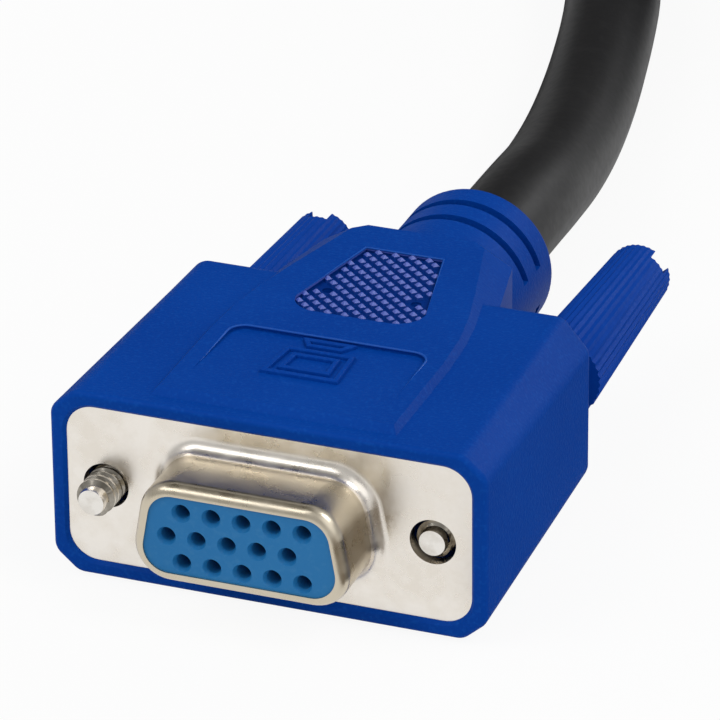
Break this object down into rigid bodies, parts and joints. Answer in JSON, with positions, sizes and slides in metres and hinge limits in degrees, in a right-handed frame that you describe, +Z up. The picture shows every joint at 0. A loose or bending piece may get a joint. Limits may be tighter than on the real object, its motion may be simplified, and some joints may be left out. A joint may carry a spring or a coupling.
{
  "type": "kvm cable",
  "caption": "Video lead for a KVM switch: D-shaped connectors in moulded blue hoods with captive thumbscrews, joined by a round black cable wound into a tied hank.",
  "frame": {"origin": "under the middle of the socket end's bounding box, on the surface that the lead lies on", "axes": "+Y from the socket's face towards the cable, +Z up, +X to the right seen from behind the cable"},
  "size_m": [0.076, 0.3049, 0.0255],
  "materials": {
    "hood_vinyl": "fine spark-eroded grain",
    "grip_plastic": "satin, ribbed",
    "plated_steel": "bright nickel plate",
    "screw_steel": "plated thread",
    "insulator": "satin",
    "rear_insulator": "plain",
    "contact_metal": "gold flash",
    "inner_mould": "plain",
    "foil": "copper foil",
    "ferrule": "crimped",
    "wire": "plain",
    "cable_jacket": "satin vinyl",
    "tie_band": "plain"
  },
  "bodies": {
    "lead": {"socket_hood": "hood_vinyl", "socket_front_shell": "plated_steel", "socket_rear_shell": "plated_steel", "socket_face_insulator": "insulator", "socket_rear_insulator": "rear_insulator", "socket_contacts": "contact_metal", "socket_inner_mould": "inner_mould", "socket_foil_shield": "foil", "socket_ferrule": "ferrule", "socket_wires": "wire", "socket_cable_end": "cable_jacket", "plug_hood": "hood_vinyl", "plug_front_shell": "plated_steel", "plug_rear_shell": "plated_steel", "plug_face_insulator": "insulator", "plug_rear_insulator": "rear_insulator", "plug_contacts": "contact_metal", "plug_inner_mould": "inner_mould", "plug_foil_shield": "foil", "plug_ferrule": "ferrule", "plug_wires": "wire", "plug_cable_end": "cable_jacket", "cable_lead": "cable_jacket", "cable_hank": "cable_jacket", "cable_tail": "cable_jacket", "hank_tie_left": "tie_band", "hank_tie_right": "tie_band"},
    "socket_left_thumbscrew": {"socket_left_screw": "screw_steel"},
    "socket_left_knob": {"socket_left_grip": "grip_plastic"},
    "socket_right_thumbscrew": {"socket_right_screw": "screw_steel"},
    "socket_right_knob": {"socket_right_grip": "grip_plastic"},
    "plug_left_thumbscrew": {"plug_left_screw": "screw_steel"},
    "plug_left_knob": {"plug_left_grip": "grip_plastic"},
    "plug_right_thumbscrew": {"plug_right_screw": "screw_steel"},
    "plug_right_knob": {"plug_right_grip": "grip_plastic"}
  },
  "joints": [
    {"name": "socket_left_draw", "type": "slide", "parent": "lead", "child": "socket_left_thumbscrew", "axis": [0, 1, 0], "range_m": [-0.0011, 0.0033]},
    {"name": "socket_left_turn", "type": "hinge", "parent": "socket_left_thumbscrew", "child": "socket_left_knob", "pos_m": [-0.01249, -0.02015, 0.0076], "axis": [0, 1, 0], "continuous": true},
    {"name": "socket_right_draw", "type": "slide", "parent": "lead", "child": "socket_right_thumbscrew", "axis": [0, 1, 0], "range_m": [-0.0037, 0.0007]},
    {"name": "socket_right_turn", "type": "hinge", "parent": "socket_right_thumbscrew", "child": "socket_right_knob", "pos_m": [0.01249, -0.02015, 0.0076], "axis": [0, 1, 0], "continuous": true},
    {"name": "plug_left_draw", "type": "slide", "parent": "lead", "child": "plug_left_thumbscrew", "axis": [0, -1, 0], "range_m": [-0.0031, 0.0013]},
    {"name": "plug_left_turn", "type": "hinge", "parent": "plug_left_thumbscrew", "child": "plug_left_knob", "pos_m": [0.0135, 0.25035, 0.0076], "axis": [0, -1, 0], "continuous": true},
    {"name": "plug_right_draw", "type": "slide", "parent": "lead", "child": "plug_right_thumbscrew", "axis": [0, -1, 0], "range_m": [-0.0023, 0.0021]},
    {"name": "plug_right_turn", "type": "hinge", "parent": "plug_right_thumbscrew", "child": "plug_right_knob", "pos_m": [-0.0115, 0.25035, 0.0076], "axis": [0, -1, 0], "continuous": true}
  ]
}
